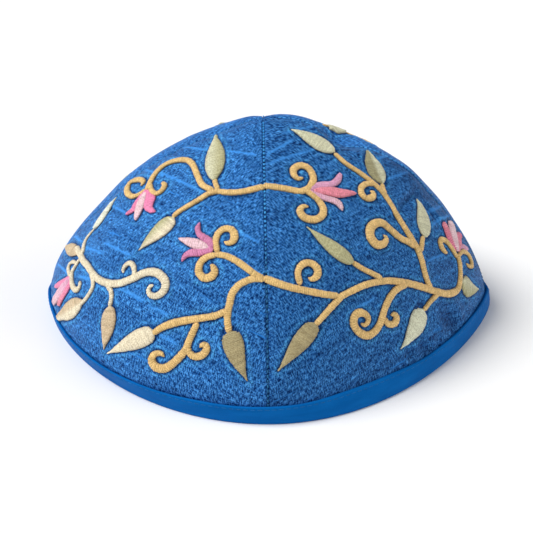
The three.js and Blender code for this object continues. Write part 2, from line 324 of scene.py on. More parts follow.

# Creases and shallow hollows in the silk: depth and width in millimetres, and the way each runs in
# pixels of the frame. On the front panels the silk's colour is also darkened with painted shade where a
# crease runs in by more than about 0.17 mm.
CREASES = {
    "below_right_seam": (2.0, 1.5, [(315, 117), (320, 124), (327, 134), (335, 143), (342, 148)]),
    "ridge_below_right_seam": (-0.7, 1.5, [(310, 122), (316, 130), (323, 139), (331, 147)]),
    "under_upper_vine": (0.9, 1.5, [(211, 197), (224, 199), (240, 197), (256, 193)]),
    "above_upper_vine": (0.35, 1.5, [(229, 178), (243, 171), (256, 160)]),
    "high_left": (0.4, 1.5, [(166, 152), (184, 154), (205, 149)]),
    "left_shoulder": (0.45, 1.5, [(97, 216), (110, 210), (124, 199)]),
    "low_right": (1.4, 2.4, [(417, 342), (424, 348), (431, 355)]),
    "low_right_upper": (1.3, 2.4, [(446, 306), (452, 316), (459, 331)]),
    "low_right_outer": (1.1, 2.4, [(438, 310), (448, 322), (456, 335)]),
    "low_right_leaf": (1.0, 2.4, [(404, 349), (412, 356), (419, 361)]),
    "right_of_tall_vine": (0.9, 1.5, [(395, 226), (397, 214), (408, 200), (421, 190)]),
    "right_shoulder": (0.8, 1.5, [(420, 200), (432, 212), (441, 228)]),
    "right_of_top": (0.45, 1.5, [(345, 152), (358, 158), (372, 165)]),
    "shaded_hollow_right_shoulder": (0.8, 9.0, [(392, 158), (410, 176), (428, 198), (440, 218)]),
    "shaded_hollow_low_right": (0.7, 7.0, [(440, 302), (448, 316), (446, 332), (436, 346)]),
}

# The valley entry is the share by which each stitch's trough is darkened as painted shade.
LEAF_LOOK = {"stitch": 0.6, "crown": 0.8, "columns": 13, "slant": 0.1, "rise": 0.1, "relief": 0.10,
             "valley_shade": 0.15}

STITCH = 0.80          # spacing of the satin stitches
EDGE_JITTER = 0.055    # how unevenly their ends line up
SEAM_STITCH = 1.75     # spacing of the stitches along a seam
RIM_STITCH = 2.55      # spacing of the stitches round the rim
SEAM_DARK = 40         # height below which the stitches in the seams are at their darkest
SEAM_LIGHT = 66        # and above which they are at their lightest
dice = np.random.default_rng(7)

# The lines of stitches in the seams: signs and turn of the panel edge, depth and colour
SEAM_LINES = (
    (-1, -1, 1.0, 0.14, (0.07, 0.44, 1.0)),
    (1, 1, 1.0, 0.14, (0.07, 0.44, 1.0)),
    (-1, -1, 0.0, 0.30, (0.05, 0.26, 0.62)),
    (1, 1, 0.0, 0.12, (0.10, 0.44, 0.95)),
)


def ramp(low, high, value):
    """Smooth step from 0 at low to 1 at high: t^2 (3 - 2 t)."""
    t = np.clip((value - low) / (high - low), 0.0, 1.0)
    return t * t * (3 - 2 * t)


def unit(vectors):
    """Each vector divided by its length."""
    return vectors / np.maximum(np.linalg.norm(vectors, axis=-1, keepdims=True), 1e-9)


def outline(h, side, offset):
    """Reach of one side at height fraction h: (rim reach + offset) x (1 - h^belly)^(1 / crown)."""
    reach, belly, crown = OUTLINES[side]
    return (reach + offset) * np.clip(1 - h**belly, 0, None) ** (1 / crown)


def limits(right, back, h, offset=0.0):
    """Side reach, front or back reach and corner exponent at height fraction h."""
    side = np.where(right, outline(h, "right", offset), outline(h, "left", offset))
    face = np.where(back, outline(h, "back", offset), outline(h, "front", offset))
    corner = np.where(back, CORNER_BACK, np.where(right, CORNER_FRONT_RIGHT, CORNER_FRONT_LEFT))
    return side, face, corner + (CORNER_AT_TOP - corner) * h**2


def uneven_waves():
    """Wave vectors, phases and depths of the silk's slight unevenness, drawn once."""
    length = dice.uniform(*UNEVEN_WAVES, UNEVEN_COUNT)
    heading = unit(dice.normal(size=(UNEVEN_COUNT, 3)))
    return heading * (2 * math.pi / length)[:, None], dice.uniform(0, 2 * math.pi, UNEVEN_COUNT)


WAVES, PHASES = uneven_waves()
PATCH_WAVES = dice.normal(0, 0.5, (2, 3))


def soft_push(points, along_x, along_y):
    """Outward push at points: the sum of Gaussian dents, a dip along the seams, a few crossed sine waves,
    and short gathers above the binding that fade upward."""
    push = bulges(DENTS, points)
    near_seam = np.exp(-((along_x / SEAM_SPREAD) ** 2)) + np.exp(-((along_y / SEAM_SPREAD) ** 2))
    push -= SEAM_DIP * np.minimum(1, near_seam)
    push += UNEVEN_DEPTH * np.sin(points @ WAVES.T + PHASES).sum(-1)
    push *= ramp(STIFF_BELOW, SOFT_ABOVE, points[..., 2])
    round_rim = np.arctan2(points[..., 1], points[..., 0]) * SIDE_REACH
    above = points[..., 2] - BINDING_TOP
    gathers = np.sin(round_rim * 2 * math.pi / GATHER_LENGTH + 1.7 * np.sin(round_rim / 11))
    fade = ramp(-1, 1.5, above) * np.exp(-np.clip(above, 0, None) / GATHER_REACH)
    return push + GATHER_DEPTH * gathers * fade + swell(points)


def bulges(table, points):
    """Sum over a table's rows of push x exp(-(distance / radius)^2)."""
    push = np.zeros(points.shape[:-1])
    for x, y, z, radius, depth in table.values():
        away = ((points - (x, y, z)) ** 2).sum(-1)
        push += depth * np.exp(-away / radius**2)
    return push


def swell(points):
    """Outward push of the low swells, fading smoothly to nothing at the rim's foot."""
    return bulges(SWELLS, points) * ramp(0, SWELL_FULL_ABOVE, points[..., 2])


def cloth_point(sign_x, sign_y, turn, h, offset=0.0, gap=0.0):
    """Point of the cloth in one quarter. With angle = turn x 90 degrees it lies at side reach x cos(angle)
    and face reach x sin(angle)^(2 / corner), leans with h^2, stands at height x h and is then pushed out
    along the line from HEART. turn is 0 at the side seam and 1 at the front or back seam."""
    angle = turn * math.pi / 2
    side, face, corner = limits(sign_x > 0, sign_y > 0, h, offset)
    along_x = side * np.cos(angle)
    along_y = face * np.sin(angle) ** (2 / corner)
    x = sign_x * (along_x + gap / 2 * (1 - along_x / SIDE_REACH)) + LEAN[0] * h**2
    y = sign_y * (along_y + gap / 2 * (1 - along_y / FRONT_REACH)) + LEAN[1] * h**2
    points = np.stack(np.broadcast_arrays(x, y, (HEIGHT + offset) * h), -1)
    push = soft_push(points, along_x, along_y)
    return points + unit(points - HEART) * push[..., None], along_x, along_y


def place_on_rays(rays):
    """Cloth points on unit rays from HEART: the distance where (x / side)^2 + (y / face)^corner = 1 is
    found by halving an interval, and the outward push is added to it."""
    near = np.full(rays.shape[:-1], 5.0)
    far = np.full(rays.shape[:-1], 120.0)
    for _ in range(17):
        middle = (near + far) / 2
        points = HEART + rays * middle[..., None]
        h = np.clip(points[..., 2] / HEIGHT, 0, 0.9995)
        x = points[..., 0] - LEAN[0] * h**2
        y = points[..., 1] - LEAN[1] * h**2
        side, face, corner = limits(x > 0, y > 0, h)
        outside = (x / side) ** 2 + (np.abs(y) / face) ** corner > 1
        outside |= points[..., 2] > HEIGHT * 0.9995
        far = np.where(outside, middle, far)
        near = np.where(outside, near, middle)
    points = HEART + rays * near[..., None]
    h = np.clip(points[..., 2] / HEIGHT, 0, 1)
    across = np.abs(points[..., 0] - LEAN[0] * h**2)
    ahead = np.abs(points[..., 1] - LEAN[1] * h**2)
    push = soft_push(points, across, ahead)
    return points + rays * push[..., None]


def on_cloth(points, rise=0.0):
    """Points moved along their rays from HEART onto the cloth, and rise millimetres above it."""
    rays = unit(points - HEART)
    return place_on_rays(rays) + rays * np.asarray(rise)[..., None]


def cloth_normal(points):
    """Outward normal: the cross product of two short steps along the cloth."""
    outward = unit(points - HEART)
    level = unit(np.cross([0.0, 0.0, 1.0], outward))
    upward = np.cross(outward, level)
    base = on_cloth(points)
    along = on_cloth(points + 0.7 * level) - base
    up = on_cloth(points + 0.7 * upward) - base
    return unit(np.cross(along, up))


def camera_axes():
    """Eye, forward, right and up of the camera. It looks down by CAMERA_LIFT at a point beside the rim's
    middle, chosen so that the rim's middle falls on ORIGIN_PIXEL."""
    lift = CAMERA_LIFT
    eye = CAMERA_DISTANCE * np.array([0, -math.cos(lift), math.sin(lift)])
    raise_by = (ORIGIN_PIXEL[1] - FRAME / 2) / PIXELS_PER_MM
    shift_by = (FRAME / 2 - ORIGIN_PIXEL[0]) / PIXELS_PER_MM
    aim = raise_by * np.array([0, math.sin(lift), math.cos(lift)]) + np.array([shift_by, 0, 0])
    forward = unit(aim - eye)
    right = unit(np.cross(forward, [0, 0, 1]))
    return eye, forward, right, np.cross(right, forward)


EYE, FORWARD, RIGHT, UP = camera_axes()
FOCAL = PIXELS_PER_MM * CAMERA_DISTANCE


def seen_at(pixels):
    """Cloth points that the camera sees at pixels. Each ray steps toward the cloth by two thirds of its
    radial distance from it, and a ray that passes beside the cap takes its nearest place."""
    pixels = np.asarray(pixels, float)
    across = (pixels[:, 0] - FRAME / 2) / FOCAL
    down = (pixels[:, 1] - FRAME / 2) / FOCAL
    rays = unit(FORWARD + across[:, None] * RIGHT - down[:, None] * UP)
    reach = ((HEART - EYE) * rays).sum(-1) - 95
    best = np.full(len(rays), 1e9)
    best_reach = reach.copy()
    for _ in range(45):
        points = EYE + rays * reach[:, None]
        away = points - HEART
        gap = np.linalg.norm(away, axis=-1) - np.linalg.norm(place_on_rays(unit(away)) - HEART, axis=-1)
        closer = np.abs(gap) < best
        best = np.where(closer, np.abs(gap), best)
        best_reach = np.where(closer, reach, best_reach)
        reach = reach + 0.66 * gap
    return on_cloth(EYE + rays * best_reach[:, None])


def smooth_path(points, steps=10):
    """Catmull-Rom curve through points, with steps pieces between each two of them."""
    points = np.asarray(points, float)
    padded = np.vstack([2 * points[0] - points[1], points, 2 * points[-1] - points[-2]])
    t = (np.arange(steps) / steps)[None, :, None]
    p0, p1, p2, p3 = (padded[i : len(padded) - 3 + i, None, :] for i in range(4))
    square = 2 * p0 - 5 * p1 + 4 * p2 - p3
    cube = 3 * p1 - p0 - 3 * p2 + p3
    bent = 2 * p1 + (p2 - p0) * t + square * t**2 + cube * t**3
    return np.vstack([bent.reshape(-1, points.shape[1]) / 2, points[-1]])


def even_steps(path, spacing, group=1):
    """The path resampled at equal lengths near spacing, with a whole number of groups of steps. The first
    three columns are the place in millimetres. Also gives each sample's part of the way, and the length."""
    ends = np.concatenate([[0], np.cumsum(np.linalg.norm(np.diff(path[:, :3], axis=0), axis=1))])
    count = group * max(2, int(round(ends[-1] / spacing / group)))
    places = np.linspace(0, 1, count + 1)
    samples = np.stack([np.interp(places * ends[-1], ends, path[:, k]) for k in range(path.shape[1])], 1)
    return samples, places, ends[-1]


class Skin:
    """Gathers grids of points into one mesh."""

    def __init__(self):
        self.points = []
        self.faces = []
        self.values = {}
        self.grain = []
        self.count = 0

    def add(self, points, faces, grain=None, **values):
        """Adds points, whole arrays of faces, a grain coordinate a point, and named values a point: single
        numbers or colours."""
        points = points.reshape(-1, 3)
        self.points.append(points)
        self.faces += [part + self.count for part in faces]
        self.count += len(points)
        for name, value in values.items():
            self.values.setdefault(name, []).append(value.reshape(len(points), -1))
        if grain is not None:
            self.grain.append(grain.reshape(-1, 2))

    def piece(self, name, material, slot):
        """The mesh as a Blender object that rides on the cap."""
        points = np.concatenate(self.points) * MM
        sizes = np.concatenate([np.full(len(part), part.shape[1]) for part in self.faces])
        corners = np.concatenate([part.ravel() for part in self.faces]).astype(np.int32)
        mesh = bpy.data.meshes.new(name)
        mesh.vertices.add(len(points))
        mesh.vertices.foreach_set("co", points.ravel())
        mesh.loops.add(len(corners))
        mesh.loops.foreach_set("vertex_index", corners)
        mesh.polygons.add(len(sizes))
        starts = np.concatenate([[0], np.cumsum(sizes)[:-1]])
        mesh.polygons.foreach_set("loop_start", starts.astype(np.int32))
        mesh.update(calc_edges=True)
        mesh.shade_smooth()
        for label, parts in self.values.items():
            self.store(mesh, label, np.concatenate(parts).astype(np.float32))
        if self.grain:
            grain = np.concatenate(self.grain)[corners].astype(np.float32)
            mesh.uv_layers.new(name="grain").data.foreach_set("uv", grain.ravel())
        mesh.materials.append(material)
        thing = bpy.data.objects.new(name, mesh)
        bpy.context.collection.objects.link(thing)
        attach(thing, "root")
        return thing

    @staticmethod
    def store(mesh, label, values):
        """Keeps a value a point in the mesh: one number, or a colour."""
        if values.shape[1] == 1:
            mesh.attributes.new(label, "FLOAT", "POINT").data.foreach_set("value", values.ravel())
        else:
            solid = np.hstack([values, np.ones((len(values), 1), np.float32)])
            mesh.attributes.new(label, "FLOAT_COLOR", "POINT").data.foreach_set("color", solid.ravel())


def grid_faces(rows, columns, closed_rows=False, closed_columns=False, flip=False):
    """Quads of a grid of rows x columns points, wrapped round where it is closed."""
    i = np.arange(rows if closed_rows else rows - 1)[:, None]
    j = np.arange(columns if closed_columns else columns - 1)[None, :]
    next_i = (i + 1) % rows
    next_j = (j + 1) % columns
    quads = np.stack(
        [i * columns + j, i * columns + next_j, next_i * columns + next_j, next_i * columns + j], -1
    ).reshape(-1, 4)
    return quads[:, ::-1] if flip else quads


def satin(skin, centre, half, colours, crown, columns=9, slant=0.16, fold=0.0, rise=0.0, relief=0.17,
          valley_shade=0.24):
    """A band of satin stitches along a centre line on the cloth. Across it the height is
    crown x sin(a)^0.8 for a from 0 to 180 degrees, less fold in the middle. Along it each stitch is three
    rings: a trough, its colour darkened by the share valley as painted shade, and two that make its ridge,
    relief higher and a little wider. Toward both edges, where the threads dive into the cloth, the colour is
    darkened by a quarter x across^6 as painted shade. half holds the half width at each ring, and colours
    the left and the right colour there."""
    rings = len(centre)
    normal = cloth_normal(centre)
    tangent = unit(np.gradient(centre, axis=0))
    side = unit(np.cross(tangent, normal))
    across = -np.cos(np.linspace(0, math.pi, columns))
    arch = np.sqrt(np.clip(1 - across**2, 0, 1))
    stitch = np.arange(rings) // 3
    ridge = (np.arange(rings) % 3 > 0).astype(float)[:, None]
    wobble, lump, shade, tilt = (dice.normal(0, 1, rings)[stitch][:, None] for _ in range(4))
    width = half[:, None] - 0.07 * np.minimum(half[:, None], 1) * (1 - ridge) + EDGE_JITTER * ridge * wobble
    dome = arch**0.8 - fold * np.exp(-((across / 0.16) ** 2))
    height = np.minimum(crown, half * 0.75)[:, None] * dome
    height = height + ridge * (relief + 0.04 * lump) * np.sqrt(arch) * np.minimum(half[:, None] / 0.8, 1)
    x = width * across
    skew = (slant + 0.05 * tilt) * x
    top = centre[:, None] + side[:, None] * x[..., None] + tangent[:, None] * skew[..., None]
    top = on_cloth(top, height + rise)
    under = centre[:, None] + side[:, None] * (width * np.array([[0.6, -0.6]]))[..., None]
    under = on_cloth(under, np.full(under.shape[:-1], -0.3))
    size = columns + 2
    caps = [np.arange(size)[None, ::-1], np.arange(size)[None] + (rings - 1) * size]
    blend = np.clip(0.5 + across / (0.16 if fold else 1.1), 0, 1)
    blend = np.concatenate([blend, [1, 0]])[None, :, None]
    left, right = (np.broadcast_to(colour, (rings, 3))[:, None] for colour in colours)
    # Painted shade: the colour darkens toward both edges of the band and, by the share valley, in each
    # stitch's trough.
    edge_shade = np.append(0.30 * across**6, [0.3, 0.3])
    shade = (1 + 0.055 * shade + valley_shade * (ridge - 1)) * (1 - edge_shade)
    paint = (left * (1 - blend) + right * blend) * shade[..., None]
    faces = [grid_faces(rings, size, closed_columns=True, flip=True), *caps]
    skin.add(np.concatenate([top, under], 1), faces, thread_colour=np.clip(paint, 0, 1))


def on_panel(points, back):
    """Points of the front pattern, or their image on the back: y becomes BACK_MARGIN - BACK_SQUEEZE x y,
    and the point is laid on the cloth there."""
    return on_cloth(points * [1, -BACK_SQUEEZE, 1] + [0, BACK_MARGIN, 0]) if back else points


def panel_key(pixel, back):
    """Name of the panel that carries a pattern which starts at a pixel, left or right of the front seam,
    or its mirror image on the back."""
    side = "left" if pixel[0] < SEAM_PIXEL else "right"
    return f"back_{side}" if back else f"front_{side}"


def measured(rows):
    """Centre line on the cloth, with the half width in millimetres as a fourth column, of a band charted
    as x, y and width in pixels. Both of its edges are laid on the cloth, and their distance is the width."""
    rows = smooth_path(rows, 6)
    along = np.gradient(rows[:, :2], axis=0)
    sideways = unit(np.stack([along[:, 1], -along[:, 0]], 1)) * np.abs(rows[:, 2:]) / 2
    middle, one, other = (seen_at(rows[:, :2] + shift) for shift in (0, sideways, -sideways))
    return np.column_stack([middle, np.linalg.norm(one - other, axis=1) / 2])


class Needlework:
    """The embroidery of the four panels: a mesh for each kind and panel, and where it covers the silk."""

    def __init__(self):
        self.skins = {}
        self.covered = {}

    def band(self, kind, pixel, path, colours, backs=(False, True), **look):
        """Sews a band, and its image on the back. path has a half width as its fourth column."""
        for back in backs:
            lines = np.column_stack([on_panel(path[:, :3], back), path[:, 3:]])
            self.sew(kind, panel_key(pixel, back), lines, colours, look)

    def sew(self, kind, key, lines, colours, look):
        """Sews a band on a panel along lines that lie on the cloth, with round ends. colours are those of
        its left side at the start and the end, then of its right side."""
        steps, places, length = even_steps(lines, look.get("stitch", STITCH) / 3, group=3)
        centre = on_cloth(steps[:, :3])
        half = steps[:, 3] * np.sqrt(np.clip(np.minimum(places, 1 - places) * length / 0.9, 0.08, 1))
        ends = np.asarray(colours, float)
        left = ends[0] * (1 - places[:, None]) + ends[1] * places[:, None]
        right = ends[2] * (1 - places[:, None]) + ends[3] * places[:, None]
        skin = self.skins.setdefault((kind, key), Skin())
        satin(skin, centre, half, (left, right), **{k: v for k, v in look.items() if k != "stitch"})
        self.covered.setdefault(key, []).append(np.column_stack([centre, half]))

    def pieces(self, threads):
        """One object for each kind and panel."""
        return [
            skin.piece(f"{kind}_{key}", threads[kind], SLOTS[kind])
            for (kind, key), skin in self.skins.items()
        ]


def sew_vines(work):
    """Stems and tendrils. Each follows its charted pixels on the cloth, and its width runs smoothly from
    the start over seven tenths of the way to the end."""
    for row, (name, (colour, start, middle, end, pixels)) in enumerate(VINES.items()):
        seen = seen_at(smooth_path(pixels))
        places = np.linspace(0, 1, len(seen))
        width = np.interp(places, [0, 0.35, 0.7, 1], [start, (start + middle) / 2, middle, end])
        backs = (False,) if name in FRONT_ONLY_VINES else (False, True)
        work.band("vine", pixels[0], np.column_stack([seen, width / 2]), (colour,) * 4, backs, crown=0.85,
                  rise=0.02 * (row % 4))


def leaf_shape(places, widest, tail=1.25):
    """Half width of a leaf over its length: t^a (1 - t)^tail, scaled to 1 at the widest place."""
    rise = tail * widest / (1 - widest)
    t = np.clip(places, 0.004, 0.996)
    return t**rise * (1 - t) ** tail / (widest**rise * (1 - widest) ** tail)


def leaf_rows(base, tip, bow, width, widest):
    """A leaf as x, y and width in pixels: a straight line from base to tip, bowed sideways by
    bow x sin(180 degrees x t)."""
    t = np.linspace(0, 1, 13)
    along = np.subtract(tip, base)
    sideways = np.array([along[1], -along[0]]) / np.linalg.norm(along)
    axis = base + along * t[:, None] + sideways * bow * np.sin(math.pi * t)[:, None]
    return np.column_stack([axis, np.maximum(width * leaf_shape(t, widest), 0.08 * width)])


def sew_leaves(work):
    """Leaves: wide bands with a leaf's outline, some folded down the middle."""
    for name, (left, right, base, tip, *outline_values, folded) in LEAVES.items():
        lines = measured(leaf_rows(base, tip, *outline_values))
        backs = (False,) if name in FRONT_ONLY_LEAVES else (False, True)
        work.band("leaf", base, lines, (left, left, right, right), backs, fold=0.35 if folded else 0.0,
                  **LEAF_LOOK)


def sew_crest(work):
    """The stem and the leaf that the camera sees over the crest, on the back right panel."""
    stem = seen_at(smooth_path(CREST_STEM))
    half = np.full(len(stem), CREST_STEM_WIDTH / 2)
    work.sew("vine", "back_right", np.column_stack([stem, half]), (GOLD,) * 4, {"crown": 0.4, "rise": -0.15})
    left, right, base, tip, *outline_values, _ = CREST_LEAF
    lines = measured(leaf_rows(base, tip, *outline_values))
    work.sew("leaf", "back_right", lines, (left, left, right, right), LEAF_LOOK)


def sew_flowers(work):
    """Tulips: petals of satin stitches, the middle one of each flower on top."""
    for name, (base, tip, rows) in PETALS.items():
        lifted = 0.32 if name.endswith("middle") else 0.12
        backs = (False,) if name in FRONT_ONLY_PETALS else (False, True)
        work.band("flower", rows[0], measured(rows), (base, tip, base, tip), backs, crown=0.6, rise=lifted)


def slub_samples():
    """Samples of the slubs on each panel: points on the cloth, with a half width that is uneven and tapers
    to nothing at both ends as a fourth column."""
    samples = {}
    for x0, y0, x1, y1 in SLUBS:
        seen = seen_at(smooth_path([(x0, y0), ((x0 + x1) / 2, (y0 + y1) / 2 - 0.3), (x1, y1)]))
        for back in (False, True):
            centre, places, _ = even_steps(on_panel(seen, back), 0.4)
            uneven = 1 + 0.35 * np.sin(places * 23 + x0) * np.sin(places * 9 + y0)
            half = SLUB_HALF * uneven * np.sin(math.pi * np.clip(places, 0.03, 0.97)) ** 0.5
            samples.setdefault(panel_key((x0, y0), back), []).append(np.column_stack([centre, half]))
    return samples


def distances(points, lines):
    """Distance from each point to the nearest sample of the lines, less the half width kept in its fourth
    column, by comparing a few thousand points at a time with all samples."""
    nearest = np.empty(len(points))
    square = (lines[:, :3] ** 2).sum(1)
    for start in range(0, len(points), 2000):
        part = points[start : start + 2000]
        away = (part**2).sum(1)[:, None] + square - 2 * part @ lines[:, :3].T
        nearest[start : start + 2000] = (np.sqrt(np.maximum(away, 0)) - lines[:, 3]).min(1)
    return nearest


def crease_push(points):
    """Push of the creases: inward by depth x exp(-(distance / width)^2), with a low ridge on both sides. A
    crease's depth fades toward both of its ends."""
    push = np.zeros(len(points))
    for depth, width, pixels in CREASES.values():
        steps, places, length = even_steps(seen_at(smooth_path(pixels)), 0.5)
        close = np.linalg.norm(points - steps.mean(0), axis=1) < length / 2 + 5 * width
        away = np.linalg.norm(points[close][:, None] - steps[None], axis=2)
        distance = away.min(1)
        far = distance / width
        shape = np.exp(-(far**2)) - 0.45 * np.exp(-(((far - 2.1) / 1.1) ** 2))
        push[close] -= depth * np.sin(math.pi * places[away.argmin(1)]) ** 0.7 * shape
    return push


def gore_grain(turn, h, rows):
    """Place of each point on a gore's flat pattern: with s the length down the middle of the gore and
    alpha the angle from its middle, across = s sin(alpha) and down = s cos(alpha)."""
    middle, _, _ = cloth_point(-1, -1, np.full(rows, 0.5), h[:, 0])
    down = np.concatenate([np.cumsum(np.linalg.norm(np.diff(middle, axis=0), axis=1)[::-1])[::-1], [0.0]])
    radius = np.hypot(middle[:, 0], middle[:, 1])
    opening = radius / np.maximum(down, 1) * math.pi / 4
    alpha = (turn * 2 - 1) * np.minimum(opening, math.pi / 4)[:, None]
    return np.stack([down[:, None] * np.sin(alpha), down[:, None] * np.cos(alpha)], -1)


def panel_face(sign_x, sign_y, offset, columns, rows):
    """Grid of one face of a panel, with its points' distances from the seams and their turn and height.
    Columns crowd toward the seams and rows toward the top."""
    even = np.linspace(0, 1, columns)
    turn = (0.6 * (1 - np.cos(math.pi * even)) / 2 + 0.4 * even)[None, :]
    foot = PANEL_FOOT / (HEIGHT + offset)
    climb = 1 - (1 - np.linspace(0, 1, rows)) ** 1.4
    h = (foot + (0.99995 - foot) * climb)[:, None]
    return (*cloth_point(sign_x, sign_y, turn, h, offset, gap=0.04), turn, h)


def thread_pull(points, covered):
    """What the embroidery does to the silk: a push, a painted shade along its edge, and a painted glint on
    the pucker beside it. Under a band the silk is pressed in, and beside it a patchy pucker rises 1.25 mm
    away."""
    gap = distances(points, np.concatenate(covered))
    patchy = 0.62 + 0.55 * np.sin(points @ PATCH_WAVES.T).prod(-1)
    pucker = np.exp(-(((gap - 1.25) / 0.65) ** 2)) * patchy
    pressed = np.exp(-((np.maximum(gap, -0.3) / 0.6) ** 2))
    return 0.32 * pucker - 0.14 * pressed, np.exp(-((np.maximum(gap, 0) / 0.5) ** 2)), pucker


def wall_faces(rows, columns, step):
    """Faces that join a fine grid to a grid with every step-th row and column behind it, along the foot,
    the top and both sides. Each has step + 1 points of the fine grid and two of the coarse one."""
    fine = np.arange(rows * columns).reshape(rows, columns)
    coarse = rows * columns + np.arange(((rows - 1) // step + 1) * ((columns - 1) // step + 1))
    coarse = coarse.reshape((rows - 1) // step + 1, -1)
    walls = []
    edges = (
        (fine[0, ::-1], coarse[0, ::-1]),
        (fine[-1], coarse[-1]),
        (fine[:, 0], coarse[:, 0]),
        (fine[::-1, -1], coarse[::-1, -1]),
    )
    for front, behind in edges:
        start = np.arange(len(behind) - 1)
        run = front[start[:, None] * step + np.arange(step + 1)]
        walls.append(np.column_stack([run, behind[start + 1], behind[start]]))
    return walls


def make_panel(name, sign_x, sign_y, lightness, silk, work, slubs):
    """A gore: the cloth's outer face in a fine grid and its inner face in a coarse one, joined all round.
    The outer face rolls into the seams by 0.85 x exp(-(distance / 0.5)^2), is drawn in by the embroidery
    and, in front, has the charted creases. Its colour carries painted shade along the embroidery and where
    the creases run well in, and painted glints on the puckers. A slub rises by 0.10 x exp(-(distance /
    0.36)^2)."""
    columns, rows, step = 211, 193, 6
    outer, along_x, along_y, turn, h = panel_face(sign_x, sign_y, 0.0, columns, rows)
    inner, *_ = panel_face(sign_x, sign_y, -CLOTH, columns, rows)
    roll = 0.85 * np.minimum(np.exp(-((along_x / 0.5) ** 2)) + np.exp(-((along_y / 0.5) ** 2)), 1)
    flat = outer.reshape(-1, 3)
    # The second value is painted shade along the embroidery's edge, the third a painted glint on the pucker
    # beside it.
    push, near, gathered = thread_pull(flat, work.covered[name])
    thick = np.exp(-((np.maximum(distances(flat, np.concatenate(slubs[name])), 0) / 0.36) ** 2))
    push += 0.10 * thick
    if sign_y < 0:
        creased = crease_push(flat)
        push += creased
        # Painted shade: the silk's colour is darkened where a crease runs in by more than about 0.17 mm.
        near = np.maximum(near, np.clip(-0.7 * creased - 0.12, 0, 0.7))
    push = push * ramp(BINDING_TOP - 1, BINDING_TOP + 1.5, flat[:, 2]) - roll.ravel()
    outer = flat + unit(flat - HEART) * push[:, None]
    inner = inner[::step, ::step].reshape(-1, 3)
    grain = gore_grain(turn, h, rows)
    grains = np.concatenate([grain.reshape(-1, 2), grain[::step, ::step].reshape(-1, 2)]) * GRAIN_SCALE
    grains += (5 * sign_x + 2 * sign_y, 3 * sign_y)
    plain = np.zeros(len(inner))
    faces = [grid_faces(rows, columns)]
    faces.append(grid_faces((rows - 1) // step + 1, (columns - 1) // step + 1, flip=True) + rows * columns)
    faces += wall_faces(rows, columns, step)
    if sign_x * sign_y < 0:
        faces = [part[:, ::-1] for part in faces]
    skin = Skin()
    skin.add(np.concatenate([outer, inner]), faces, grain=grains, near_thread=np.concatenate([near, plain]),
             gathered=np.concatenate([gathered, plain]), thick_weft=np.concatenate([thick, plain]),
             lightness=np.full(len(outer) + len(inner), lightness))
    panel = skin.piece(f"silk_panel_{name}", silk, "silk")
    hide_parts(f"panel_{name}")
    return panel


def rim_stations(count):
    """Signs and turns of the stations round the rim, counter-clockwise from the right tip."""
    signs = np.repeat([[1, 1], [-1, 1], [-1, -1], [1, -1]], count, axis=0)
    part = np.tile(np.arange(count) / count, 4)
    rising = signs[:, 0] * signs[:, 1] > 0
    return signs, np.where(rising, part, 1 - part)


def rim_ring(signs, turn, offset, z):
    """Points at an offset from the cloth and a height, once round the rim. The offset is added to every
    reach of the cloth at that height, and the low swells push the points outward."""
    h = z / (HEIGHT + offset)
    right, back = (signs > 0).T
    side, face, corner = limits(right, back, h, offset)
    angle = turn * math.pi / 2
    x = signs[:, 0] * side * np.cos(angle) + LEAN[0] * h**2
    y = signs[:, 1] * face * np.sin(angle) ** (2 / corner) + LEAN[1] * h**2
    points = np.stack([x, y, z], 1)
    return points + unit(points - HEART) * swell(points)[:, None]


def binding_profile():
    """Section of the folded tape as offsets and heights: a slightly swollen outer wall, round folds at
    both edges, the slot for the panels, and a flat foot."""
    outside = TAPE_SLACK + TAPE
    inside = -CLOTH - outside
    wall = np.linspace(0.7, BINDING_TOP - 0.6, 12)
    bulge = 0.12 * np.sin(math.pi * np.linspace(0, 1, 12))
    turn = np.linspace(0, math.pi / 2, 5)[1:]
    outer = [(outside - 0.1 + s, z) for s, z in zip(bulge, wall)]
    lip = [(outside - 0.7 + 0.6 * math.cos(a), BINDING_TOP - 0.6 + 0.6 * math.sin(a)) for a in turn]
    slot = [(0.12, BINDING_TOP - 0.35), (0.1, BINDING_TOP - 1.2), (0.3, 3.5), (0.3, TAPE),
            (-CLOTH - 0.3, TAPE), (-CLOTH - 0.3, 3.5), (-CLOTH - 0.1, BINDING_TOP - 1.6),
            (-CLOTH - 0.12, BINDING_TOP - 0.9)]
    inner_top = BINDING_TOP - 0.6
    inner_lip = [(inside + 0.7 - 0.6 * math.sin(a), inner_top - 0.6 + 0.6 * math.cos(a)) for a in turn]
    inner = [(inside + 0.1 - s, z) for s, z in zip(bulge[::2], np.linspace(inner_top - 0.8, 0.8, 6))]
    foot = [(inside + 0.25, 0.25), (inside + 0.6, 0.0), (outside - 0.6, 0.0), (outside - 0.22, 0.22)]
    return np.array(outer + lip + slot + inner_lip + inner + foot)


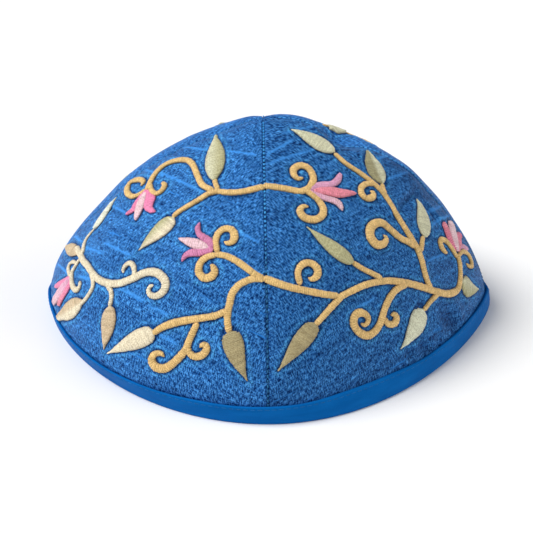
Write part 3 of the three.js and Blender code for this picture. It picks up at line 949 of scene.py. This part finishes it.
def make_binding(tape):
    """The binding: its section carried round the rim. The outer wall is drawn in a little at each stitch
    and its upper edge waves slightly. The draw is a depth x the sixth power of a sine of the place
    between stitches, and it fades away above and below the line of stitches."""
    stations = 190
    signs, turn = rim_stations(stations)
    profile = binding_profile()
    trace = rim_ring(signs, turn, 0.0, np.zeros(len(turn)))
    steps = np.linalg.norm(np.roll(trace, -1, 0) - trace, axis=1)
    along = np.concatenate([[0], np.cumsum(steps)[:-1]])
    perimeter = steps.sum()
    stitches = round(perimeter / RIM_STITCH)
    pull = np.abs(np.sin(math.pi * along / perimeter * stitches)) ** 6
    wave = 0.12 * np.sin(along / 9.3) + 0.07 * np.sin(along / 4.1 + 1)
    rings = []
    for offset, z in profile:
        near_stitch = math.exp(-(((z - BINDING_TOP + 1.4) / 0.7) ** 2))
        outward = 1 if offset > 0.5 else (-1 if offset < -CLOTH - 0.5 else 0)
        lift = wave * (z / BINDING_TOP) ** 2
        rings.append(rim_ring(signs, turn, offset - outward * 0.13 * pull * near_stitch,
                              np.full(len(turn), z) + lift))
    grid = np.stack(rings, 1)
    grain_v = np.cumsum(np.linalg.norm(np.diff(profile, axis=0, prepend=profile[:1]), axis=1))
    grain = np.stack(np.broadcast_arrays(along[:, None], grain_v[None, :]), -1) * GRAIN_SCALE
    skin = Skin()
    skin.add(grid, [grid_faces(len(turn), len(profile), True, True)], grain=grain)
    binding = skin.piece("binding", tape, "binding_tape")
    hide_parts("rim_binding")
    return binding, perimeter


def dashes(skin, centre, tangent, normal, length, thick, colour):
    """Short stitches as flattened rods: six rings whose radius follows sin(a)^0.5, six sides."""
    side = np.cross(tangent, normal)
    a = np.linspace(0.12, math.pi - 0.12, 6)
    along = -np.cos(a) * length / 2
    radius = np.sin(a) ** 0.5 * thick / 2
    round_it = np.arange(6) * math.pi / 3
    ring = (
        centre[:, None, None]
        + tangent[:, None, None] * along[None, :, None, None]
        + side[:, None, None] * (radius[:, None] * np.cos(round_it))[None, ..., None]
        + normal[:, None, None] * (radius[:, None] * np.sin(round_it) * 0.8)[None, ..., None]
    )
    count = len(centre)
    start = (np.arange(count) * 36)[:, None, None]
    quads = (grid_faces(6, 6, closed_columns=True)[None] + start).reshape(-1, 4)
    caps = (np.array([np.arange(6)[::-1], np.arange(6) + 30])[None] + start).reshape(-1, 6)
    shade = dice.uniform(0.85, 1.1, count)[:, None, None] * np.array(colour)
    skin.add(ring, [quads, caps], thread_colour=np.clip(np.broadcast_to(shade, (count, 36, 3)), 0, 1))


def make_rim_stitches(thread, perimeter):
    """One stitch every RIM_STITCH round the binding, just under its upper edge, outside and inside."""
    signs, turn = rim_stations(400)
    skin = Skin()
    outer_line = (TAPE_SLACK + TAPE - 0.1, BINDING_TOP - 1.0)
    inner_line = (-CLOTH - TAPE_SLACK - TAPE + 0.12, BINDING_TOP - 2)
    for offset, z in (outer_line, inner_line):
        trace = rim_ring(signs, turn, offset, np.full(len(turn), z))
        closed = np.vstack([trace, trace[:1]])
        count = round(perimeter / RIM_STITCH)
        spots, _, _ = even_steps(closed, perimeter / count)
        spots = spots[:-1] if len(spots) > count else spots
        tangent = unit(np.roll(spots, -1, 0) - np.roll(spots, 1, 0))
        normal = unit(np.cross(tangent, [0, 0, 1.0])) * np.sign(offset)
        dashes(skin, spots, tangent, normal, RIM_STITCH * 0.72, 0.36, (0.008, 0.16, 0.50))
    return skin.piece("rim_stitches", thread, "seam_thread")


def make_seam_stitches(thread):
    """Stitches in the bottom of each seam from the binding to the top, darker toward the rim."""
    skin = Skin()
    for sign_x, sign_y, turn, depth, colour in SEAM_LINES:
        foot = BINDING_TOP / HEIGHT
        h = foot + (0.995 - foot) * (1 - (1 - np.linspace(0, 1, 300)) ** 1.6)
        line, _, _ = cloth_point(sign_x, sign_y, np.full(300, turn), h)
        line = line - unit(line - HEART) * depth
        spots, _, _ = even_steps(line, SEAM_STITCH)
        tangent = unit(np.gradient(spots, axis=0))
        fade = 0.35 + 0.65 * ramp(SEAM_DARK, SEAM_LIGHT, spots[:, 2])
        tone = np.array(colour) * fade[:, None, None]
        dashes(skin, spots, tangent, unit(spots - HEART), SEAM_STITCH * 0.58, 0.75, tone)
    return skin.piece("seam_stitches", thread, "seam_thread")


def new_material(name, colour, roughness, sheen, sheen_roughness=0.4):
    """A material with its shader, and the shader itself."""
    material = bpy.data.materials.new(name)
    material.use_nodes = True
    shader = material.node_tree.nodes["Principled BSDF"]
    shader.inputs["Base Color"].default_value = (*colour, 1)
    shader.inputs["Roughness"].default_value = roughness
    shader.inputs["Sheen Weight"].default_value = sheen
    shader.inputs["Sheen Roughness"].default_value = sheen_roughness
    return material, shader


def node(material, kind, **values):
    """Adds a node and sets its properties, or its inputs where a value's name is one of theirs."""
    made = material.node_tree.nodes.new(kind)
    for name, value in values.items():
        label = name.replace("_", " ").title()
        if label in made.inputs:
            made.inputs[label].default_value = value
        else:
            setattr(made, name, value)
    return made


def link(material, source, target):
    material.node_tree.links.new(source, target)


def streaks(material, scale, detail=3.0, seed=0.0):
    """Noise on the grain coordinates, drawn out by unlike scales across and down the gore."""
    uv = node(material, "ShaderNodeUVMap", uv_map="grain")
    place = node(material, "ShaderNodeMapping")
    place.inputs["Location"].default_value = (seed, seed * 0.7, 0)
    place.inputs["Scale"].default_value = (*scale, 1)
    noise = node(material, "ShaderNodeTexNoise", scale=1.0, detail=detail, roughness=0.6)
    link(material, uv.outputs["UV"], place.inputs["Vector"])
    link(material, place.outputs["Vector"], noise.inputs["Vector"])
    return noise.outputs["Fac"]


def ramp_node(material, source, stops):
    """A colour ramp through (place, colour) stops."""
    made = node(material, "ShaderNodeValToRGB")
    link(material, source, made.inputs["Fac"])
    elements = made.color_ramp.elements
    for index, (place, colour) in enumerate(stops):
        element = elements[index] if index < 2 else elements.new(place)
        element.position = place
        element.color = (*colour, 1)
    return made.outputs["Color"]


def mixed(material, kind, amount, first, second):
    """Two colours mixed. amount is a number or an output."""
    mix = node(material, "ShaderNodeMix", data_type="RGBA", blend_type=kind)
    sockets = [s for s in mix.inputs if s.enabled]
    for socket, value in zip(sockets, (amount, first, second)):
        if hasattr(value, "default_value") or hasattr(value, "links"):
            link(material, value, socket)
        else:
            socket.default_value = value
    return [s for s in mix.outputs if s.enabled][0]


def bump(material, shader, height, depth_mm, strength=1.0, before=None):
    """Bump of a given depth in millimetres on the shader's normal."""
    made = node(material, "ShaderNodeBump")
    made.inputs["Strength"].default_value = strength
    made.inputs["Distance"].default_value = depth_mm * MM
    link(material, height, made.inputs["Height"])
    if before is not None:
        link(material, before.outputs["Normal"], made.inputs["Normal"])
    link(material, made.outputs["Normal"], shader.inputs["Normal"])
    return made


def silk_material():
    """Slubbed silk: streaks of warp threads down the gore and of weft threads across it, here and there
    a thick light one, broad patches where the cloth was handled, painted shade against the embroidery
    and in the creases, painted glints where the silk puckers, and painted light and shade for each gore."""
    material, shader = new_material("slubbed_silk", (0.03, 0.14, 0.40), 0.5, 0.0)
    shader.inputs["Specular IOR Level"].default_value = 0.07
    shader.inputs["Specular Tint"].default_value = (0.3, 0.65, 1.0, 1)
    warp = streaks(material, (290, 58), 1.0, 3.1)
    weft = streaks(material, (50, 270), 1.0, 1.7)
    slub = streaks(material, (4.5, 62), 2.0, 6.4)
    broad = streaks(material, (16, 4), 4.0, 9.2)
    bands = streaks(material, (3, 30), 3.0, 4.4)
    glint_noise = streaks(material, (170, 90), 1.0, 8.8)
    base = ramp_node(material, broad, [(0.36, (0.003, 0.050, 0.21)), (0.64, (0.030, 0.195, 0.62))])
    warp_colour = ramp_node(material, warp, [(0.41, (0.001, 0.006, 0.055)), (0.5, (0.010, 0.097, 0.37)),
                                             (0.59, (0.120, 0.460, 1.0))])
    weft_colour = ramp_node(material, weft, [(0.38, (0.001, 0.010, 0.08)), (0.5, (0.012, 0.102, 0.37)),
                                             (0.62, (0.100, 0.410, 1.0))])
    threads = mixed(material, "MIX", 0.42, warp_colour, weft_colour)
    colour = mixed(material, "MIX", 0.9, base, threads)
    tone = ramp_node(material, bands, [(0.38, (0.66, 0.70, 0.76)), (0.62, (1.06, 1.06, 1.06))])
    colour = mixed(material, "MULTIPLY", 1.0, colour, tone)
    lit = ramp_node(material, slub, [(0.64, (0.0, 0.0, 0.0)), (0.72, (0.7, 0.7, 0.7))])
    colour = mixed(material, "MIX", lit, colour, (0.03, 0.24, 0.74, 1))
    thick = node(material, "ShaderNodeAttribute", attribute_name="thick_weft")
    thick_amount = mixed(material, "MULTIPLY", 1.0, thick.outputs["Color"], (0.72, 0.72, 0.72, 1))
    colour = mixed(material, "MIX", thick_amount, colour, (0.07, 0.36, 0.95, 1))
    # Painted glint: light-blue points on the puckers beside the embroidery, broken up by fine noise.
    gathered = node(material, "ShaderNodeAttribute", attribute_name="gathered")
    glint_breakup = ramp_node(material, glint_noise, [(0.48, (0.05, 0.05, 0.05)), (0.61, (0.85, 0.85, 0.85))])
    glint = mixed(material, "MULTIPLY", 1.0, gathered.outputs["Color"], glint_breakup)
    colour = mixed(material, "MIX", glint, colour, (0.12, 0.52, 1.0, 1))
    # Painted shade: the colour darkened along the embroidery's edge and in the creases.
    near = node(material, "ShaderNodeAttribute", attribute_name="near_thread")
    colour = mixed(material, "MULTIPLY", near.outputs["Fac"], colour, (0.36, 0.42, 0.52, 1))
    # Painted light and shade: the whole gore's colour is scaled by its own factor.
    gore_shading = node(material, "ShaderNodeAttribute", attribute_name="lightness")
    colour = mixed(material, "MULTIPLY", 1.0, colour, gore_shading.outputs["Color"])
    link(material, colour, shader.inputs["Base Color"])
    first = bump(material, shader, warp, 0.22, 0.6)
    second = bump(material, shader, weft, 0.18, 0.6, first)
    bump(material, shader, slub, 0.30, 0.5, second)
    return material


def tape_material():
    """Plain woven tape: a fine even weave with a faint diagonal grain."""
    material, shader = new_material("woven_tape", (0.003, 0.11, 0.38), 0.55, 0.0)
    shader.inputs["Specular IOR Level"].default_value = 0.05
    shader.inputs["Specular Tint"].default_value = (0.3, 0.65, 1.0, 1)
    weave = streaks(material, (260, 420), 2.0, 5.3)
    broad = streaks(material, (6, 30), 3.0, 2.2)
    fine = ramp_node(material, weave, [(0.3, (0.001, 0.090, 0.34)), (0.7, (0.003, 0.150, 0.50))])
    soft = ramp_node(material, broad, [(0.35, (0.001, 0.100, 0.36)), (0.7, (0.004, 0.160, 0.52))])
    link(material, mixed(material, "MIX", 0.5, fine, soft), shader.inputs["Base Color"])
    bump(material, shader, weave, 0.05, 0.5)
    return material


def thread_material(name, roughness, sheen, depth_mm):
    """Embroidery thread in the colour stored with each stitch, with fine fibres over it."""
    material, shader = new_material(name, (0.5, 0.5, 0.5), roughness, sheen, 0.4)
    shader.inputs["Specular IOR Level"].default_value = 0.15
    colour = node(material, "ShaderNodeAttribute", attribute_name="thread_colour")
    place = node(material, "ShaderNodeTexCoord")
    fibres = node(material, "ShaderNodeTexNoise", scale=2200.0, detail=2.0, roughness=0.6)
    link(material, place.outputs["Object"], fibres.inputs["Vector"])
    tint = ramp_node(material, fibres.outputs["Fac"], [(0.38, (0.68, 0.64, 0.58)), (0.58, (1, 1, 1))])
    base = mixed(material, "MULTIPLY", 1.0, colour.outputs["Color"], tint)
    link(material, base, shader.inputs["Base Color"])
    bump(material, shader, fibres.outputs["Fac"], depth_mm, 0.5)
    return material


def make_floor():
    """A pale floor, far larger than the view."""
    mesh = bpy.data.meshes.new("floor")
    reach = 12.0
    corners = [(-reach, -reach, 0), (reach, -reach, 0), (reach, reach, 0), (-reach, reach, 0)]
    mesh.from_pydata(corners, [], [(0, 1, 2, 3)])
    material, shader = new_material("pale_floor", (0.95, 0.95, 0.95), 0.9, 0.0)
    shader.inputs["Specular IOR Level"].default_value = 0.1
    mesh.materials.append(material)
    floor = bpy.data.objects.new("floor", mesh)
    bpy.context.collection.objects.link(floor)


def distant_light(name, place, strength, spread):
    """Soft light from afar, from the side of place, with a spread in degrees."""
    light = bpy.data.lights.new(name, "SUN")
    light.energy = strength
    light.angle = math.radians(spread)
    lamp = bpy.data.objects.new(name, light)
    bpy.context.collection.objects.link(lamp)
    lamp.rotation_euler = look_along(-np.array(place))


def look_along(direction):
    """Turn that points an object's -Z along a direction with its Y upward."""
    return Vector(direction).to_track_quat("-Z", "Y").to_euler()


def make_camera():
    data = bpy.data.cameras.new("camera")
    data.sensor_width = SENSOR
    data.sensor_fit = "HORIZONTAL"
    data.lens = FOCAL / FRAME * SENSOR
    data.clip_start = 0.02
    camera = bpy.data.objects.new("camera", data)
    bpy.context.collection.objects.link(camera)
    camera.location = EYE * MM
    camera.rotation_euler = look_along(FORWARD)
    bpy.context.scene.camera = camera


def make_light():
    """A bright room, a large soft light from the upper left and a weak one from the right."""
    world = bpy.data.worlds.new("room")
    world.use_nodes = True
    world.node_tree.nodes["Background"].inputs["Color"].default_value = (1, 1, 1, 1)
    world.node_tree.nodes["Background"].inputs["Strength"].default_value = 0.30
    bpy.context.scene.world = world
    distant_light("key", (-0.62, -0.05, 0.80), 2.9, 35)
    distant_light("fill", (0.92, -0.25, 0.30), 0.9, 60)
    bpy.context.scene.view_settings.view_transform = "Standard"


make_camera()
make_light()
make_floor()
work = Needlework()
sew_vines(work)
sew_leaves(work)
sew_crest(work)
sew_flowers(work)
silk = silk_material()
tape = tape_material()
sewing = thread_material("sewing_thread", 0.5, 0.0, 0.03)
slubs = slub_samples()
for panel_row in PANELS:
    make_panel(*panel_row, silk, work, slubs)
binding, rim_length = make_binding(tape)
make_rim_stitches(sewing, rim_length)
make_seam_stitches(sewing)
work.pieces({
    "vine": thread_material("gold_thread", 0.42, 0.35, 0.05),
    "leaf": thread_material("leaf_thread", 0.5, 0.3, 0.05),
    "flower": thread_material("flower_thread", 0.45, 0.35, 0.05),
})
